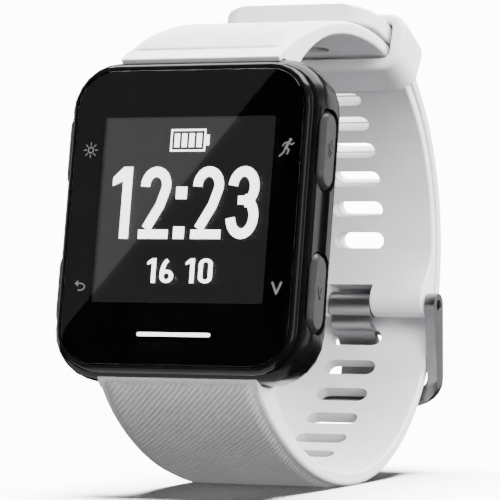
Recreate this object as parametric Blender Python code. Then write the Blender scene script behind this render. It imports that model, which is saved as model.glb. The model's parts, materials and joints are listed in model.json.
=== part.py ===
"""A square running watch on a closed silicone strap, standing on the strap's underside.

Every shape is drawn in the watch's own frame, in millimetres: X to the wearer's right (3 o'clock),
Y from the glass towards the wrist, Z to 12 o'clock, with Y = 0 on the glass and Z = 0 half way up
the case. One empty leans all of it back on the strap and puts the lowest point at Z = 0.
"""
import math

import bmesh
import bpy
from mathutils import Matrix, Vector

MM = 0.001

# How the watch stands
LEAN = 10.1                     # degrees that 12 o'clock leans towards the wrist side

# Case outlines: half width, half height, corner radius
CASE_OUT = (17.75, 20.35, 6.5)
CAVITY = (14.85, 17.45, 9.6)    # wide corners leave room for the screws
CASE_MOUTH = (16.1, 18.95, 5.4)
BEZEL_OUT = (16.45, 19.6, 5.7)
BEZEL_NECK = (15.95, 18.8, 5.25)
BEZEL_WINDOW = (14.5, 17.4, 3.6)
LENS_POCKET = (15.75, 18.8, 5.0)
LENS = (15.65, 18.7, 4.9)
REAR_LIP = (15.5, 18.1, 4.3)
SENSOR_PAD = (6.35, 6.35, 3.4)

# Depths along Y
LENS_BACK = 0.75
LEDGE = 1.05
CASE_FRONT = 1.7
SHELF = 2.2
CASE_REAR = 9.4
COVER_FRONT = 9.7
RIM = 10.8
SENSOR_FACE = 13.3

# Side buttons
BUTTON_Y = 4.05
BUTTON_Z = 8.9
BUTTON_HALF = (5.0, 2.1)        # half length, half width of the cap
BUTTON_TOP = 17.75
BUTTON_BASE = 16.95
BUTTON_FLOOR = 16.4
PLUNGER_END = 14.75
PLUNGER_RADIUS = 0.9
CHANNEL_FLOOR = 17.2
CHANNEL = (3.2, 1.7, 14.0)      # depth of its middle, half width, half length

# Screws in the back, pins in the lugs
SCREW_X, SCREW_Z = 12.75, 15.4
LUG_PIN_Y, LUG_PIN_Z = 6.8, 21.6
LUG_RADIUS = 1.25
LUG_HALF = 6.0
LUG_PIN_RADIUS = 0.55
LUG_PIN_HALF = 9.0

# The strap seam: the line between the two straps, as tangent arcs (radius, degrees) going from the
# top of the case over the crest, down behind the wrist and back along the bottom
SEAM_START = (2.6, 21.25)
SEAM_HEADING = 38.5
SEAM_ARCS = (
    (33.5, 14.5), (86.5, 4.0), (42.5, 24.0), (27.5, 44.0),
    (30.0, 69.0), (28.0, 53.5), (41.5, 36.5), (23.5, 19.0),
)
STRAP_HALF = 11.0
INNER_STRAP = (-1.75, 0.0)      # offsets of the upper strap from the seam
OUTER_STRAP = (0.3, 2.1)        # offsets of the lower strap
ROOT_SWELL = 3.3                # extra thickness where a strap meets the case
ROOT_LENGTH = 17.0
TIP = 28.0                      # where the free end starts, along the seam
TIP_LIFT = 0.6                  # how far the free end stands off the strap below it
TIP_THICKENING = 0.6
THICK_FROM = 48.0               # the free end is thicker up to here
STRAP_STEP = 2.3

# Slots, counted from the one that the tongue goes through
TONGUE_SLOT = 83.4              # distance along the seam
SLOT_PITCH = 4.6
SLOT_HALF = (3.75, 1.15)        # half length across the strap, half width along it
UPPER_SLOTS = range(-11, -2)
LOWER_SLOTS = range(-9, 7)

# Buckle
PIN_Y, PIN_Z = 56.5, -2.35
PIN_RADIUS = 0.65
PIN_HALF = 12.3
ROLL_RADIUS = 2.35
ROLL_EASE = 8.0                 # length over which the strap thickens to its roll
BARREL_RADIUS = 1.75
BARREL_HALF = 3.1
NOTCH_HALF = 3.35
NOTCH_TOP = 2.6
FRAME_TILT = 13.5               # degrees that the frame leans out from straight down
FRAME_HALF = 12.7
FRAME_INSIDE = 11.2
FRAME_END = 13.8
TONGUE_HALF = 2.9
TONGUE_THICK = 0.9

# Keeper: a loop that rides on the fourth arc of the seam
KEEPER_FROM, KEEPER_TO = 6.5, 22.0      # degrees past the start of that arc
KEEPER_INSIDE = (11.35, -2.1, 3.0)      # half width, inner and outer offsets of its opening
KEEPER_OUTSIDE = (13.1, -3.7, 4.5)

# Vibration motor
MOTOR_Y, MOTOR_Z = 6.0, -13.2
MOTOR_RADIUS = 3.5
MOTOR_DEPTH = 2.4


# ---------------------------------------------------------------- helpers

def clear_scene():
    for obj in list(bpy.data.objects):
        bpy.data.objects.remove(obj, do_unlink=True)


def material(name, colour, roughness, metallic=0.0, transmission=0.0):
    mat = bpy.data.materials.new(name)
    mat.use_nodes = True
    shader = mat.node_tree.nodes["Principled BSDF"]
    shader.inputs["Base Color"].default_value = (*colour, 1.0)
    shader.inputs["Roughness"].default_value = roughness
    shader.inputs["Metallic"].default_value = metallic
    shader.inputs["Transmission Weight"].default_value = transmission
    return mat


def add_object(name, verts, faces, mat=None, pivot=(0.0, 0.0, 0.0)):
    """One object from points in millimetres, with its origin at the pivot."""
    mesh = bpy.data.meshes.new(name)
    origin = Vector(pivot)
    mesh.from_pydata([(Vector(v) - origin) * MM for v in verts], [], faces)
    bm = bmesh.new()
    bm.from_mesh(mesh)
    bmesh.ops.recalc_face_normals(bm, faces=bm.faces)
    bm.to_mesh(mesh)
    bm.free()
    mesh.shade_smooth()
    mesh.set_sharp_from_angle(angle=math.radians(32))
    obj = bpy.data.objects.new(name, mesh)
    obj.location = origin * MM
    bpy.context.scene.collection.objects.link(obj)
    if mat:
        mesh.materials.append(mat)
    return obj


def stack(name, rings, mat=None, closed=False, pivot=(0.0, 0.0, 0.0)):
    """A solid skinned over rings of points: capped at its ends, or closed round like a tyre."""
    count = len(rings[0])
    verts = [p for ring in rings for p in ring]
    faces = []
    spans = len(rings) if closed else len(rings) - 1
    for i in range(spans):
        a = i * count
        b = ((i + 1) % len(rings)) * count
        for k in range(count):
            n = (k + 1) % count
            faces.append((a + k, a + n, b + n, b + k))
    if not closed:
        faces.append(tuple(range(count)))
        faces.append(tuple(range((len(rings) - 1) * count, len(rings) * count)))
    return add_object(name, verts, faces, mat, pivot)


def rounded_outline(half_a, half_b, radius, steps=6):
    """A rectangle with round corners, anticlockwise, as (a, b) points."""
    points = []
    for corner, (sa, sb) in enumerate(((1, 1), (-1, 1), (-1, -1), (1, -1))):
        for k in range(steps + 1):
            angle = math.radians(90.0 * (corner + k / steps))
            points.append((
                sa * (half_a - radius) + radius * math.cos(angle),
                sb * (half_b - radius) + radius * math.sin(angle),
            ))
    return points


def circle(radius, steps=32):
    return [
        (radius * math.cos(math.tau * k / steps), radius * math.sin(math.tau * k / steps))
        for k in range(steps)
    ]


def level(y, outline, centre=(0.0, 0.0), steps=6):
    """An outline (half width, half height, radius) laid across the watch at depth y."""
    cx, cz = centre
    return [(cx + a, y, cz + b) for a, b in rounded_outline(*outline, steps)]


def round_level(y, radius, centre=(0.0, 0.0), steps=24):
    cx, cz = centre
    return [(cx + a, y, cz + b) for a, b in circle(radius, steps)]


def across(x, points, centre):
    """Points (y, z) about a centre, on the plane at x."""
    return [(x, centre[0] + a, centre[1] + b) for a, b in points]


def bar(name, radius, x0, x1, centre, mat=None, steps=20):
    """A round bar along X, with its origin on its axis."""
    rings = [across(x, circle(radius, steps), centre) for x in (x0, x1)]
    return stack(name, rings, mat, pivot=(0.0, *centre))


def plate(name, outline, y0, y1, mat, centre=(0.0, 0.0), steps=4):
    rings = [level(y, outline, centre, steps) for y in (y0, y1)]
    return stack(name, rings, mat)


def post(name, radius, y0, y1, centre, mat=None, steps=16):
    rings = [round_level(y, radius, centre, steps) for y in (y0, y1)]
    return stack(name, rings, mat)


def cutter(obj):
    obj.hide_render = True
    obj.display_type = "WIRE"
    return obj


def combine(obj, other, operation="DIFFERENCE"):
    """A Boolean with a hidden tool."""
    mod = obj.modifiers.new(operation.title(), "BOOLEAN")
    mod.operation = operation
    mod.solver = "EXACT"
    mod.object = cutter(other)
    return obj


def inset(outline, amount):
    return tuple(value - amount for value in outline)


# ---------------------------------------------------------------- the seam

def seam(distance):
    """Point (y, z) and heading in radians at a distance along the seam."""
    y, z = SEAM_START
    heading = math.radians(SEAM_HEADING)
    for radius, degrees in SEAM_ARCS:
        sweep = math.radians(degrees)
        centre = (y + radius * math.sin(heading), z - radius * math.cos(heading))
        last = (radius, degrees) == SEAM_ARCS[-1]
        turn = distance / radius if last else min(distance / radius, sweep)
        end = heading - turn
        y = centre[0] - radius * math.sin(end)
        z = centre[1] + radius * math.cos(end)
        if turn < sweep or last:
            return (y, z), end
        heading = end
        distance -= radius * sweep
    return (y, z), heading


def seam_point(distance, offset):
    """Point (y, z) at an outward offset from the seam."""
    (y, z), heading = seam(distance)
    return (y - offset * math.sin(heading), z + offset * math.cos(heading))


def keeper_arc():
    """Centre (y, z), start distance and radius of the arc that the keeper rides on."""
    start = sum(r * math.radians(a) for r, a in SEAM_ARCS[:3])
    radius = SEAM_ARCS[3][0]
    return seam_point(start, -radius), start, radius


def strap_section(half, low, high):
    """A strap's cross-section (x, offset): rounder on its outer edges."""
    points = []
    for sx, edge, radius, start in (
        (1, high, 0.6, 0), (-1, high, 0.6, 90), (-1, low, 0.35, 180), (1, low, 0.35, 270),
    ):
        radius = min(radius, 0.4 * (high - low))
        side = 1 if edge == high else -1
        for k in range(3):
            angle = math.radians(start + 45 * k)
            points.append((
                sx * (half - radius) + radius * math.cos(angle),
                edge - side * radius + radius * math.sin(angle),
            ))
    return points


def strap_ring(distance, half, low, high):
    return [(x, *seam_point(distance, off)) for x, off in strap_section(half, low, high)]


def stations(start, end, step):
    count = max(1, round((end - start) / step))
    return [start + (end - start) * k / count for k in range(count + 1)]


def slot_tool(name, indices):
    """All the slots of one strap as a hidden tool: prisms along the seam's normal."""
    verts, faces = [], []
    half, width = SLOT_HALF
    for index in indices:
        (y, z), heading = seam(TONGUE_SLOT + index * SLOT_PITCH)
        along = (math.cos(heading), math.sin(heading))
        out = (-math.sin(heading), math.cos(heading))
        outline = rounded_outline(half, width, width * 0.999, 3)
        first = len(verts)
        for offset in (-4.0, 5.0):
            for a, b in outline:
                verts.append((a, y + b * along[0] + offset * out[0],
                              z + b * along[1] + offset * out[1]))
        n = len(outline)
        for k in range(n):
            m = (k + 1) % n
            faces.append((first + k, first + m, first + n + m, first + n + k))
        faces.append(tuple(range(first, first + n)))
        faces.append(tuple(range(first + n, first + 2 * n)))
    return add_object(name, verts, faces)


# ---------------------------------------------------------------- front of the case

def cover_lens():
    glass = material("glass", (0.012, 0.013, 0.015), 0.04)
    rings = [
        level(LENS_BACK, LENS), level(0.22, LENS), level(0.08, inset(LENS, 0.08)),
        level(0.0, inset(LENS, 0.22)),
    ]
    stack("cover_lens", rings, glass)


def lens_gasket():
    rubber = material("lens_adhesive", (0.02, 0.02, 0.02), 0.7)
    inside = inset(LENS, 0.9)
    rings = [level(0.8, LENS), level(1.0, LENS), level(1.0, inside), level(0.8, inside)]
    stack("lens_gasket", rings, rubber, closed=True)


def front_bezel():
    black = material("bezel_black", (0.016, 0.017, 0.019), 0.22)
    rings = [
        level(0.12, inset(BEZEL_OUT, 0.55)), level(0.3, inset(BEZEL_OUT, 0.25)),
        level(0.8, inset(BEZEL_OUT, 0.04)), level(1.0, BEZEL_OUT),
        level(1.35, inset(BEZEL_OUT, 0.08)), level(1.35, BEZEL_NECK), level(2.1, BEZEL_NECK),
        level(2.1, BEZEL_WINDOW), level(LEDGE, BEZEL_WINDOW), level(LEDGE, LENS_POCKET),
        level(0.12, LENS_POCKET),
    ]
    stack("front_bezel", rings, black, closed=True)


def display_module():
    screen = material("display", (0.05, 0.052, 0.055), 0.3)
    plate("display_module", (13.4, 14.8, 1.0), 1.15, 2.05, screen, centre=(0.0, 0.9))


def inner_frame():
    grey = material("frame_plastic", (0.11, 0.11, 0.12), 0.55)
    outer, inside = (11.9, 16.4, 6.0), (9.6, 13.4, 3.0)
    rings = [level(3.3, outer), level(4.6, outer), level(4.6, inside), level(3.3, inside)]
    stack("inner_frame", rings, grey, closed=True)


# ---------------------------------------------------------------- the case

def case_envelope(name, gap, front, rear):
    """The case's outer shape, grown by a gap and run out past both ends, as a tool."""
    rings = [level(front, inset(CASE_OUT, -gap))]
    rings += [level(y, inset(CASE_OUT, d - gap)) for y, d in REAR_SLOPE]
    rings.append(level(rear, inset(REAR_LIP, -gap)))
    return stack(name, rings)


REAR_SLOPE = ((5.9, 0.0), (6.8, 0.2), (7.7, 0.75), (8.6, 1.5), (CASE_REAR, 2.25))
FRONT_SLOPE = ((CASE_FRONT, 0.95), (2.0, 0.55), (2.5, 0.22), (3.3, 0.0))


def lug(name, side):
    """The eye that a strap hangs on: a tab with a round end, as a tool for the case."""
    profile = []
    for k in range(13):
        angle = math.radians(180.0 * k / 12)
        profile.append((LUG_RADIUS * math.cos(angle), LUG_RADIUS * math.sin(angle) * side))
    profile += [(-LUG_RADIUS, -3.4 * side), (LUG_RADIUS, -3.4 * side)]
    centre = (LUG_PIN_Y, LUG_PIN_Z * side)
    rings = [across(x, profile, centre) for x in (-LUG_HALF, LUG_HALF)]
    return stack(name, rings)


def capsule_at(x, side, half_length, half_width, z):
    """A long round-ended outline on the side of the case."""
    points = rounded_outline(half_width, half_length, half_width * 0.999, 5)
    return [(side * x, BUTTON_Y + a, z + b) for a, b in points]


def button_hollow(name, side, z):
    """The pocket of a button, its plunger's bore and the seal's seat, in one tool."""
    def ring(x, radius):
        return capsule_at(x, side, radius, radius, z)

    length, width = BUTTON_HALF
    rings = [
        capsule_at(22.0, side, length + 0.2, width + 0.2, z),
        capsule_at(BUTTON_FLOOR, side, length + 0.2, width + 0.2, z),
        ring(BUTTON_FLOOR, 1.05), ring(15.6, 1.05), ring(15.6, 1.6), ring(12.0, 1.6),
    ]
    return stack(name, rings)


def channel_tool(name, side):
    middle, width, length = CHANNEL
    outline = rounded_outline(width, length, 1.5, 4)
    rings = [[(side * x, middle + a, b) for a, b in outline] for x in (CHANNEL_FLOOR, 22.0)]
    return stack(name, rings)


def mid_case():
    black = material("case_black", (0.014, 0.015, 0.017), 0.3)
    rings = [level(y, inset(CASE_OUT, d)) for y, d in FRONT_SLOPE + REAR_SLOPE]
    rings += [level(CASE_REAR, CAVITY), level(SHELF, CAVITY)]
    rings += [level(SHELF, CASE_MOUTH), level(CASE_FRONT, CASE_MOUTH)]
    case = stack("mid_case", rings, black, closed=True)
    for side, word in ((1, "upper"), (-1, "lower")):
        combine(case, lug(f"tool_lug_{word}", side), "UNION")
        bore = bar(f"tool_lug_bore_{word}", 0.65, -8.0, 8.0, (LUG_PIN_Y, LUG_PIN_Z * side))
        combine(case, bore)
    for side, word in ((1, "right"), (-1, "left")):
        combine(case, channel_tool(f"tool_channel_{word}", side))
        for up in (1, -1):
            combine(case, button_hollow(f"tool_pocket_{word}_{up}", side, up * BUTTON_Z))
    for sx in (1, -1):
        for sz in (1, -1):
            name = f"tool_screw_hole_{sx}_{sz}"
            combine(case, post(name, 0.62, 7.2, 12.0, (sx * SCREW_X, sz * SCREW_Z), steps=16))


# ---------------------------------------------------------------- buttons

def button(name, side, z, mat):
    """A capsule cap on a round plunger, skinned in one piece. It slides along X."""
    length, width = BUTTON_HALF

    def round_ring(x):
        return capsule_at(x, side, PLUNGER_RADIUS, PLUNGER_RADIUS, z)

    rings = [
        round_ring(PLUNGER_END), round_ring(BUTTON_BASE),
        capsule_at(BUTTON_BASE, side, length, width, z),
        capsule_at(BUTTON_TOP - 0.6, side, length, width, z),
        capsule_at(BUTTON_TOP - 0.1, side, length - 0.45, width - 0.45, z),
        capsule_at(BUTTON_TOP, side, length - 0.7, width - 0.7, z),
    ]
    stack(name, rings, mat, pivot=(side * BUTTON_BASE, BUTTON_Y, z))


def buttons():
    black = material("button_black", (0.018, 0.019, 0.021), 0.32)
    rubber = material("seal_rubber", (0.03, 0.03, 0.03), 0.8)
    metal = material("switch_metal", (0.62, 0.62, 0.6), 0.35, 1.0)
    places = (
        ("light", -1, 1), ("back", -1, -1), ("run", 1, 1), ("down", 1, -1),
    )
    for word, side, up in places:
        z = up * BUTTON_Z
        centre = (BUTTON_Y, z)
        button(f"button_{word}", side, z, black)
        x0, x1 = 14.95, 15.5
        rings = [
            across(side * x, circle(r, 16), centre)
            for x, r in ((x0, 1.5), (x1, 1.5), (x1, 1.0), (x0, 1.0))
        ]
        stack(f"seal_{word}", rings, rubber, closed=True)
        rings = [
            [(side * x, BUTTON_Y + a, z + b) for a, b in rounded_outline(0.85, 1.6, 0.2, 2)]
            for x in (12.3, 14.2)
        ]
        stack(f"switch_{word}", rings, metal)


# ---------------------------------------------------------------- inside the case

def main_board():
    green = material("board_green", (0.02, 0.16, 0.07), 0.5)
    plate("main_board", (14.5, 17.1, 9.2), 4.95, 5.75, green, steps=8)


def battery():
    silver = material("cell_foil", (0.55, 0.56, 0.58), 0.4, 0.6)
    plate("battery", (9.5, 9.0, 1.2), 6.0, 8.9, silver, centre=(0.0, -0.2))


def gps_antenna():
    ceramic = material("antenna_ceramic", (0.75, 0.7, 0.58), 0.5)
    plate("gps_antenna", (5.5, 3.3, 0.4), 6.0, 7.8, ceramic, centre=(0.0, 13.2))


def vibration_motor():
    """A coin-shaped can, open at its foot, with an off-centre weight that spins in it."""
    steel = material("motor_can", (0.6, 0.6, 0.6), 0.3, 1.0)
    brass = material("motor_weight", (0.55, 0.42, 0.2), 0.35, 1.0)
    centre = (0.0, MOTOR_Z)
    top = MOTOR_Y + MOTOR_DEPTH
    rings = [
        round_level(y, r, centre)
        for y, r in (
            (MOTOR_Y, MOTOR_RADIUS), (top, MOTOR_RADIUS), (top, 0.55), (top - 0.35, 0.55),
            (top - 0.35, MOTOR_RADIUS - 0.35), (MOTOR_Y, MOTOR_RADIUS - 0.35),
        )
    ]
    stack("motor_can", rings, steel, closed=True)
    outline = [
        (2.7 * math.cos(math.radians(a)), 2.7 * math.sin(math.radians(a)))
        for a in range(-100, 101, 10)
    ]
    rings = [
        [(x, y, MOTOR_Z + z) for x, z in outline] for y in (MOTOR_Y + 0.3, top - 0.7)
    ]
    stack("motor_rotor", rings, brass, pivot=(0.0, MOTOR_Y + MOTOR_DEPTH / 2, MOTOR_Z))


# ---------------------------------------------------------------- back of the case

def rear_gasket():
    rubber = material("gasket_rubber", (0.03, 0.03, 0.03), 0.8)
    outer, inside = (15.2, 17.8, 4.2), (14.7, 17.3, 3.7)
    rings = [level(9.45, outer), level(9.65, outer), level(9.65, inside), level(9.45, inside)]
    stack("rear_gasket", rings, rubber, closed=True)


def rear_cover():
    black = material("cover_black", (0.02, 0.02, 0.022), 0.5)
    rings = [
        level(COVER_FRONT, (15.2, 17.8, 4.2)), level(10.4, (15.0, 17.6, 4.1)),
        level(RIM, (14.6, 17.2, 3.8)), level(RIM, (12.0, 12.6, 6.0)),
        level(11.4, (10.9, 11.2, 5.8)), level(12.4, (9.8, 9.8, 5.5)),
        level(13.0, (9.1, 9.1, 5.2)), level(SENSOR_FACE, (8.4, 8.4, 4.8)),
        level(SENSOR_FACE, (6.5, 6.5, 3.5)), level(12.8, (6.5, 6.5, 3.5)),
        level(12.8, (5.4, 5.4, 2.6)), level(12.3, (5.4, 5.4, 2.6)),
        level(12.3, (7.4, 7.4, 4.0)), level(COVER_FRONT, (7.4, 7.4, 4.0)),
    ]
    cover = stack("rear_cover", rings, black, closed=True)
    for sx in (1, -1):
        for sz in (1, -1):
            centre = (sx * SCREW_X, sz * SCREW_Z)
            hole = [round_level(y, r, centre, 16) for y, r in
                    ((9.0, 0.65), (10.2, 0.65), (10.2, 1.15), (12.0, 1.15))]
            combine(cover, stack(f"tool_cover_hole_{sx}_{sz}", hole))
    for index, x in enumerate(contact_places()):
        combine(cover, post(f"tool_contact_{index}", 0.9, 9.0, 12.0, (x, -14.9)))


def contact_places():
    return [2.4 * (k - 1.5) for k in range(4)]


def charge_contacts():
    gold = material("contact_gold", (0.75, 0.55, 0.25), 0.25, 1.0)
    for index, x in enumerate(contact_places()):
        post(f"charge_contact_{index + 1}", 0.8, 9.8, RIM + 0.05, (x, -14.9), gold)


def case_screws():
    steel = material("screw_steel", (0.5, 0.5, 0.52), 0.3, 1.0)
    number = 0
    for sz in (1, -1):
        for sx in (1, -1):
            number += 1
            centre = (sx * SCREW_X, sz * SCREW_Z)
            rings = [round_level(y, r, centre, 16) for y, r in
                     ((7.5, 0.5), (10.3, 0.5), (10.3, 1.0), (10.75, 1.0), (10.75, 0.45),
                      (10.5, 0.42))]
            stack(f"case_screw_{number}", rings, steel)


def heart_sensor():
    window = material("sensor_window", (0.02, 0.02, 0.025), 0.08)
    green = material("sensor_board", (0.02, 0.14, 0.06), 0.5)
    emitter = material("emitter_green", (0.1, 0.75, 0.25), 0.3)
    detector = material("detector_dark", (0.05, 0.05, 0.08), 0.2)
    plate("sensor_window", SENSOR_PAD, 12.9, SENSOR_FACE + 0.05, window, steps=8)
    plate("sensor_board", (7.0, 7.0, 3.0), 10.9, 11.5, green)
    for word, x in (("left", -3.0), ("right", 3.0)):
        plate(f"led_{word}", (0.9, 0.9, 0.2), 11.65, 12.2, emitter, centre=(x, 0.0))
    plate("photodiode", (1.2, 1.5, 0.2), 11.65, 12.2, detector)


# ---------------------------------------------------------------- straps

def root_swell(distance_from_case):
    """Extra thickness near the case, easing to nothing along the strap."""
    near = max(0.0, 1.0 - distance_from_case / ROOT_LENGTH)
    return ROOT_SWELL * near * near


def lug_notch(name, side):
    """The room for a lug in a strap's end, open towards the case and the wrist."""
    radius = LUG_RADIUS + 0.2
    profile = []
    for k in range(13):
        angle = math.radians(15.0 * k)
        profile.append((radius * math.cos(angle), side * radius * math.sin(angle)))
    profile += [(-radius, -9.0 * side), (radius + 7.0, -9.0 * side)]
    centre = (LUG_PIN_Y, LUG_PIN_Z * side)
    half = LUG_HALF + 0.25
    return stack(name, [across(x, profile, centre) for x in (-half, half)])


def fit_to_case(strap, side, word):
    """Trim a strap to the case's end, with its lug notch and its blind pin hole."""
    combine(strap, case_envelope(f"tool_case_{word}", 0.2, -8.0, 16.0))
    combine(strap, lug_notch(f"tool_notch_{word}", side))
    half = LUG_PIN_HALF + 0.3
    hole = bar(f"tool_pin_hole_{word}", 0.65, -half, half, (LUG_PIN_Y, LUG_PIN_Z * side))
    combine(strap, hole)


def pin_station():
    """Distance along the seam of the buckle pin."""
    return min(stations(70.0, 90.0, 0.05), key=lambda s: abs(seam(s)[0][1] - PIN_Z - 0.25))


def roll_offsets(reach, sunk):
    """Offsets of the upper strap's end, which thickens to a roll round the buckle pin."""
    low, high = INNER_STRAP
    if reach <= 0.0:
        ease = max(0.0, 1.0 + reach / ROLL_EASE)
        return low + (sunk - ROLL_RADIUS - low) * ease * ease * (3.0 - 2.0 * ease), high
    bulge = math.sqrt(1.0 - (reach / ROLL_RADIUS) ** 2)
    return sunk - ROLL_RADIUS * bulge, sunk + (high - sunk) * bulge


def upper_strap(white):
    """From the top of the case over the crest and down inside, to a roll round the buckle pin."""
    end = pin_station()
    low, high = INNER_STRAP
    sunk = PIN_Y - seam_point(end, 0.0)[0]
    rings = []
    for s in stations(-1.0, end - ROLL_EASE, STRAP_STEP):
        rings.append(strap_ring(s, STRAP_HALF, low - root_swell(s), high))
    reaches = stations(-ROLL_EASE, 0.0, 1.2)[1:]
    reaches += [ROLL_RADIUS * math.sin(math.radians(a)) for a in (20, 40, 60, 78)]
    for reach in reaches:
        rings.append(strap_ring(end + reach, STRAP_HALF, *roll_offsets(reach, sunk)))
    strap = stack("upper_strap", rings, white)
    combine(strap, slot_tool("tool_slots_upper", UPPER_SLOTS))
    fit_to_case(strap, 1, "upper")
    notch = [
        (x, y, z)
        for x in (-NOTCH_HALF, NOTCH_HALF)
        for y, z in ((PIN_Y - 6, PIN_Z - 6), (PIN_Y + 6, PIN_Z - 6),
                     (PIN_Y + 6, PIN_Z + NOTCH_TOP), (PIN_Y - 6, PIN_Z + NOTCH_TOP))
    ]
    box = add_object("tool_notch_buckle", notch, box_faces())
    combine(strap, box)
    combine(strap, bar("tool_pin_bore", 0.8, -14.0, 14.0, (PIN_Y, PIN_Z)))


def box_faces():
    return [(0, 1, 2, 3), (4, 5, 6, 7), (0, 1, 5, 4), (1, 2, 6, 5), (2, 3, 7, 6), (3, 0, 4, 7)]


def free_end(distance):
    """Offsets of the lower strap where it lies over the other one, out to its lifted tip."""
    _, arc_start, _ = keeper_arc()
    low, high = OUTER_STRAP
    thick = TIP_THICKENING * min(1.0, max(0.0, (THICK_FROM - distance) / 6.0))
    off = max(0.0, (arc_start + 3.0 - distance) / (arc_start + 3.0 - TIP))
    lift = TIP_LIFT * off * off
    return low + lift, high + lift + thick


def lower_strap(white):
    """From the free end over the keeper, down outside the other strap, to the foot of the case."""
    total = sum(r * math.radians(a) for r, a in SEAM_ARCS)
    corner = 4.5
    rings = []
    for k in range(6):
        turn = math.radians(15 + 15 * k)
        half = STRAP_HALF - corner * (1.0 - math.sin(turn))
        s = TIP + corner * (1.0 - math.cos(turn))
        rings.append(strap_ring(s, half, *free_end(s)))
    for s in stations(TIP + corner + 1.5, total + 1.0, STRAP_STEP):
        low, high = free_end(s)
        rings.append(strap_ring(s, STRAP_HALF, low - root_swell(total - s), high))
    strap = stack("lower_strap", rings, white)
    combine(strap, slot_tool("tool_slots_lower", LOWER_SLOTS))
    fit_to_case(strap, -1, "lower")


def straps():
    white = material("strap_silicone", (0.83, 0.84, 0.84), 0.45)
    upper_strap(white)
    lower_strap(white)
    steel = material("lug_pin_steel", (0.6, 0.6, 0.6), 0.3, 1.0)
    for side, word in ((1, "upper"), (-1, "lower")):
        bar(f"strap_pin_{word}", LUG_PIN_RADIUS, -LUG_PIN_HALF, LUG_PIN_HALF,
            (LUG_PIN_Y, LUG_PIN_Z * side), steel)


def keeper_loop():
    """A bent rectangular ring round both straps. It slides by turning about its arc's centre."""
    white = material("keeper_silicone", (0.85, 0.86, 0.86), 0.42)
    centre, start, radius = keeper_arc()

    def ring(distance, size, round_radius, trim=0.0):
        half, low, high = size
        middle, height = (low + high) / 2, (high - low) / 2
        points = rounded_outline(half - trim, height - trim, round_radius, 6)
        return [(x, *seam_point(distance, middle + off)) for x, off in points]

    first = start + radius * math.radians(KEEPER_FROM)
    last = start + radius * math.radians(KEEPER_TO)
    rings = [ring(first, KEEPER_OUTSIDE, 2.2, 0.5)]
    rings += [ring(s, KEEPER_OUTSIDE, 2.6) for s in stations(first + 0.5, last - 0.5, 1.4)]
    rings.append(ring(last, KEEPER_OUTSIDE, 2.2, 0.5))
    rings += [ring(s, KEEPER_INSIDE, 0.9) for s in stations(last, first, -1.4)]
    stack("keeper_loop", rings, white, closed=True, pivot=(0.0, *centre))


# ---------------------------------------------------------------- buckle

def buckle_point(along, out):
    """A point (y, z) of the buckle: along the frame from its pin, and out from the wrist."""
    tilt = math.radians(FRAME_TILT)
    return (
        PIN_Y + along * math.sin(tilt) + out * math.cos(tilt),
        PIN_Z - along * math.cos(tilt) + out * math.sin(tilt),
    )


def arc_points(radius, first, last, steps):
    span = [math.radians(first + (last - first) * k / steps) for k in range(steps + 1)]
    return [(radius * math.cos(a), radius * math.sin(a)) for a in span]


def frame_side_profile():
    """The frame from the side (along, out): round at the pin, slimmer and bent in at its bar."""
    eye = [(a, b) for a, b in arc_points(1.65, 270, 90, 12)]
    back = [(10.0, 1.15), (11.2, 0.9), (12.4, 0.25), (13.3, -0.7), (FRAME_END, -1.9)]
    front = [(13.0, -2.25), (12.2, -1.75), (11.3, -1.2), (10.0, -1.1)]
    return eye + back + front


def buckle_frame():
    steel = material("buckle_steel", (0.42, 0.42, 0.43), 0.3, 1.0)
    half, inside = FRAME_HALF, FRAME_INSIDE
    corner = [(b, a) for a, b in arc_points(3.2, 0, 90, 6)]
    outer = [(half - 3.2 + x, FRAME_END - 3.2 + u) for x, u in corner[::-1]]
    hollow = [(inside - 1.4 + x * 1.4 / 3.2, 11.3 - 1.4 + u * 1.4 / 3.2) for x, u in corner[::-1]]
    right_outer = [(half, -3.0)] + outer
    right_inner = [(inside, -3.0)] + hollow
    plan = right_outer + [(-x, u) for x, u in right_outer[::-1]]
    plan += [(-x, u) for x, u in right_inner] + right_inner[::-1]
    rings = [[(x, *buckle_point(u, v)) for x, u in plan] for v in (-4.0, 4.0)]
    frame = stack("buckle_frame", rings, steel, pivot=(0.0, PIN_Y, PIN_Z))
    side = [[(x, *buckle_point(u, v)) for u, v in frame_side_profile()] for x in (-16.0, 16.0)]
    combine(frame, stack("tool_frame_side", side), "INTERSECT")
    combine(frame, bar("tool_frame_bore", 0.78, -16.0, 16.0, (PIN_Y, PIN_Z)))


def smooth_path(points, steps=5):
    """A Catmull-Rom curve through hand-placed points."""
    padded = [points[0]] + points + [points[-1]]
    path = []
    for i in range(1, len(padded) - 2):
        p0, p1, p2, p3 = (Vector(p) for p in padded[i - 1:i + 3])
        for k in range(steps):
            t = k / steps
            path.append(0.5 * (
                2 * p1 + (p2 - p0) * t + (2 * p0 - 5 * p1 + 4 * p2 - p3) * t ** 2
                + (3 * p1 - p0 - 3 * p2 + p3) * t ** 3
            ))
    path.append(Vector(points[-1]))
    return path


def tongue_plate(name, path):
    """A flat strip bent along a path (y, z), thinner and rounder at its tip."""
    rings = []
    for index, point in enumerate(path):
        ahead = path[min(index + 1, len(path) - 1)]
        behind = path[max(index - 1, 0)]
        run = (ahead - behind).normalized()
        out = Vector((run.y, -run.x)) * (TONGUE_THICK / 2)
        left = len(path) - 1 - index
        half = TONGUE_HALF - (0.0, 0.35, 0.1)[left] * 2 if left < 3 else TONGUE_HALF
        if left == 0:
            half = TONGUE_HALF - 1.3
        a, b = point + out, point - out
        rings.append([(-half, a.x, a.y), (half, a.x, a.y), (half, b.x, b.y), (-half, b.x, b.y)])
    return stack(name, rings)


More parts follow.
